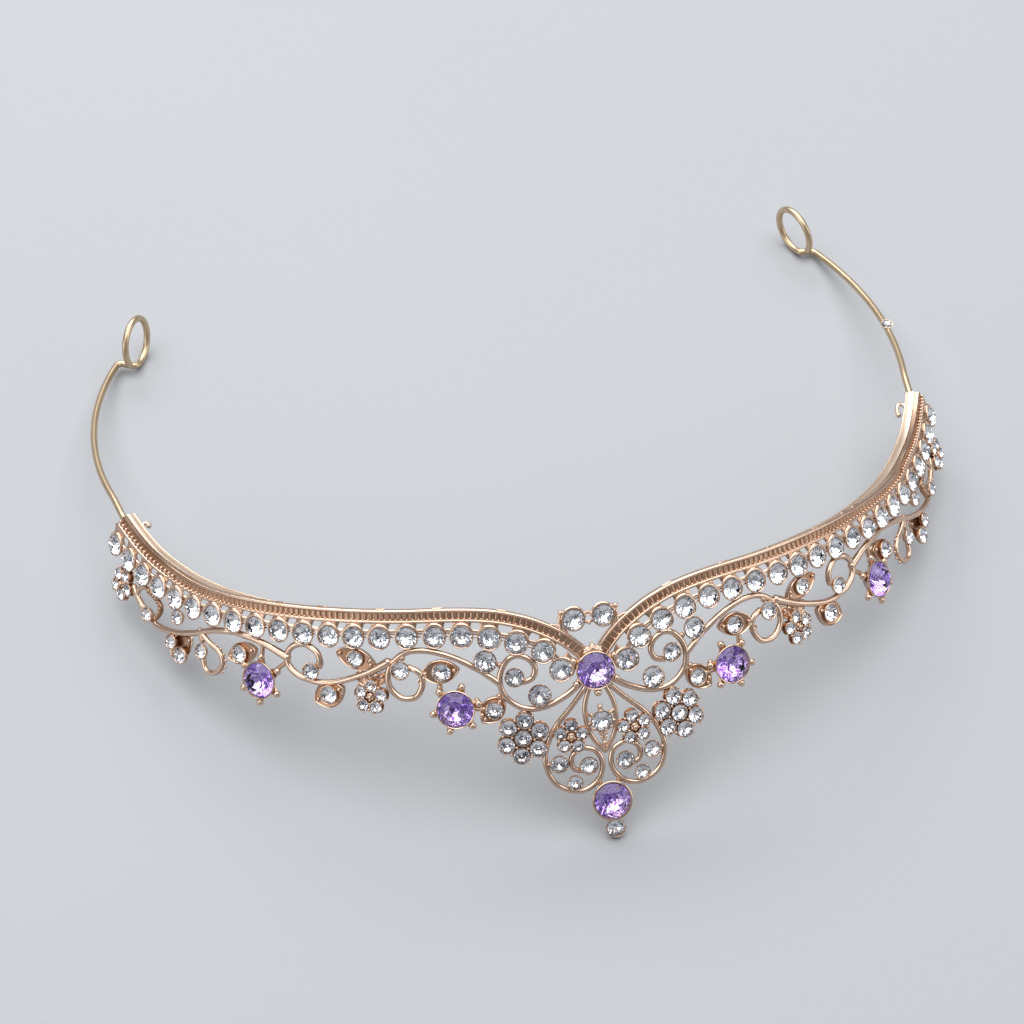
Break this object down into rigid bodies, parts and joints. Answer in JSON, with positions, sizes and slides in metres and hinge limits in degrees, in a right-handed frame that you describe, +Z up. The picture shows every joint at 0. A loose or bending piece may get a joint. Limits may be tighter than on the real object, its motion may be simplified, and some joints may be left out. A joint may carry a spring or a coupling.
{
  "type": "crown headband",
  "caption": "Openwork tiara of scrolls, vines and flowers set with white and violet stones, on a ribbed band with wire arms and end loops.",
  "frame": {"origin": "centre of the bounding box, at the surface that the piece lies on", "axes": "+Z up, -Y toward the front that shows the stones, +X to the right of a viewer who faces it; as it lies, the band is up and the centre pendant points down and forward"},
  "size_m": [0.1474, 0.1276, 0.0307],
  "materials": {
    "rose_gold": "polished cast metal",
    "pale_gold": "satin wire and strip",
    "white_stone": "foiled, faceted",
    "violet_stone": "foiled, faceted"
  },
  "bodies": {
    "root": {"frame": "rose_gold", "strip_left": "pale_gold", "strip_right": "pale_gold", "arm_left": "pale_gold", "arm_right": "pale_gold", "row_left": "white_stone", "row_right": "white_stone", "stone_main": "violet_stone", "stone_pendant": "violet_stone", "marquise_stone": "white_stone", "drop_stone": "white_stone", "top_stones": "white_stone", "violet_1_left": "violet_stone", "violet_1_right": "violet_stone", "violet_2_left": "violet_stone", "violet_2_right": "violet_stone", "scroll_stone_1_left": "white_stone", "scroll_stone_1_right": "white_stone", "scroll_stone_2_left": "white_stone", "scroll_stone_2_right": "white_stone", "scroll_stone_3_left": "white_stone", "scroll_stone_3_right": "white_stone", "leaf_stone_1_left": "white_stone", "leaf_stone_1_right": "white_stone", "leaf_stone_2_left": "white_stone", "leaf_stone_2_right": "white_stone", "leaf_stone_3_left": "white_stone", "leaf_stone_3_right": "white_stone", "leaf_stone_4_left": "white_stone", "leaf_stone_4_right": "white_stone", "leaf_stone_5_left": "white_stone", "leaf_stone_5_right": "white_stone", "curl_stone_1_left": "white_stone", "curl_stone_1_right": "white_stone", "curl_stone_2_left": "white_stone", "curl_stone_2_right": "white_stone", "curl_stone_3_left": "white_stone", "curl_stone_3_right": "white_stone", "fan_stones_left": "white_stone", "fan_stones_right": "white_stone", "cluster_left": "white_stone", "cluster_right": "white_stone", "flower_1_left": "white_stone", "flower_1_right": "white_stone", "flower_2_left": "white_stone", "flower_2_right": "white_stone", "flower_3_left": "white_stone", "flower_3_right": "white_stone", "vine_stones_left": "white_stone", "vine_stones_right": "white_stone", "leaf_pair_left": "white_stone", "leaf_pair_right": "white_stone", "arm_stone": "white_stone"}
  },
  "joints": []
}
